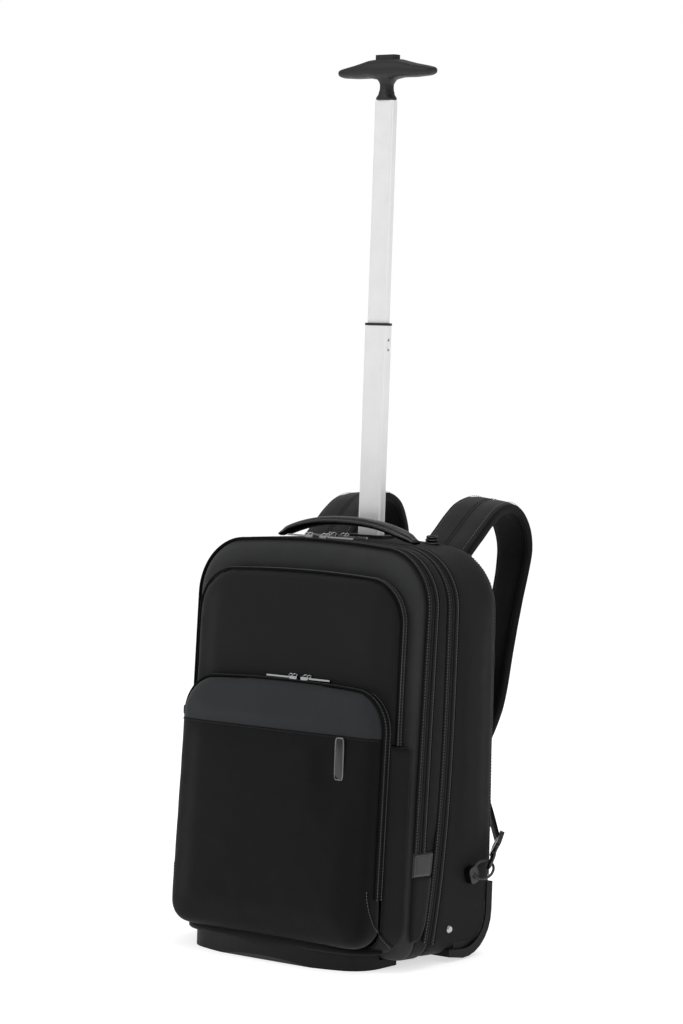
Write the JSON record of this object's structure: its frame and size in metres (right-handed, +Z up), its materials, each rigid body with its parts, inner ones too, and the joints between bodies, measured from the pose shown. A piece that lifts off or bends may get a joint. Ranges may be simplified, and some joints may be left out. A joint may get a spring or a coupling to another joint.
{
  "type": "wheeled backpack",
  "caption": "Wheeled laptop backpack with padded shoulder straps, zipped front pockets, a grab handle, corner wheels and a telescopic T-shaped pull handle.",
  "frame": {"origin": "on the ground, under the middle of the bag's bounding box", "axes": "+Z up, -Y towards the front pockets, +X towards the side of the bare name plate"},
  "size_m": [0.3646, 0.3548, 0.9971],
  "materials": {
    "fabric": "matte woven nylon",
    "coated_fabric": "smooth coated nylon, satin",
    "zip_tape": "ribbed tape with a coil and two piping lines",
    "leather_look": "glossy smooth leather look",
    "plastic": "fine satin texture",
    "silver_tube": "satin anodised",
    "nickel": "polished nickel",
    "dark_metal": "dark polished metal",
    "wheel_rubber": "matte"
  },
  "bodies": {
    "bag": {"adjuster_left": "plastic", "adjuster_right": "plastic", "anchor_loop_left": "leather_look", "anchor_loop_right": "leather_look", "base_foot": "plastic", "coated_band": "coated_fabric", "corner_guard_left": "plastic", "corner_guard_right": "plastic", "front_shell": "fabric", "front_zip_left_pull": "nickel", "front_zip_left_slider": "nickel", "front_zip_right_pull": "nickel", "front_zip_right_slider": "nickel", "grab_handle": "leather_look", "lower_pocket": "fabric", "lower_side_panel_left": "fabric", "lower_side_panel_right": "fabric", "lower_webbing_left": "fabric", "lower_webbing_right": "fabric", "middle_band": "fabric", "name_plate": "nickel", "pocket_gusset": "fabric", "pocket_zip_left_pull": "nickel", "pocket_zip_left_slider": "nickel", "pocket_zip_right_pull": "nickel", "pocket_zip_right_slider": "nickel", "pole_channel": "plastic", "rear_shell": "fabric", "rear_zip_left_pull": "nickel", "rear_zip_left_slider": "nickel", "rear_zip_right_pull": "nickel", "rear_zip_right_slider": "nickel", "shoulder_strap_left": "fabric", "shoulder_strap_right": "fabric", "side_ring_left": "nickel", "side_ring_right": "nickel", "side_rivet_left": "nickel", "side_rivet_right": "nickel", "side_zip_pull": "dark_metal", "side_zip_slider": "dark_metal", "strap_hook_left": "nickel", "strap_hook_right": "nickel", "top_bezel": "plastic", "top_slider": "dark_metal", "upper_pocket": "fabric", "wheel_axle_left": "dark_metal", "wheel_axle_right": "dark_metal", "zip_end_tab_left": "leather_look", "zip_end_tab_right": "leather_look", "zip_front": "zip_tape", "zip_lower": "zip_tape", "zip_rear": "zip_tape", "zip_upper": "zip_tape"},
    "lower_stage": {"pole_lower": "silver_tube", "pole_collar": "plastic"},
    "upper_stage": {"pole_upper": "silver_tube", "t_grip": "plastic"},
    "button": {"release_button": "plastic"},
    "right_wheel": {"wheel_right": "wheel_rubber"},
    "left_wheel": {"wheel_left": "wheel_rubber"}
  },
  "joints": [
    {"name": "lower_stage_slide", "type": "slide", "parent": "bag", "child": "lower_stage", "axis": [0, 0.0523, 0.9986], "range_m": [-0.235, 0]},
    {"name": "upper_stage_slide", "type": "slide", "parent": "lower_stage", "child": "upper_stage", "axis": [0, 0.0523, 0.9986], "range_m": [-0.249, 0]},
    {"name": "button_press", "type": "slide", "parent": "upper_stage", "child": "button", "axis": [0, 0.0523, 0.9986], "range_m": [-0.003, 0], "stiffness_N_per_m": 600, "springref_m": 0.002},
    {"name": "right_wheel_spin", "type": "hinge", "parent": "bag", "child": "right_wheel", "pos_m": [0.145, -0.0096, 0.027], "axis": [1, 0, 0], "continuous": true},
    {"name": "left_wheel_spin", "type": "hinge", "parent": "bag", "child": "left_wheel", "pos_m": [-0.145, -0.0096, 0.027], "axis": [1, 0, 0], "continuous": true}
  ]
}
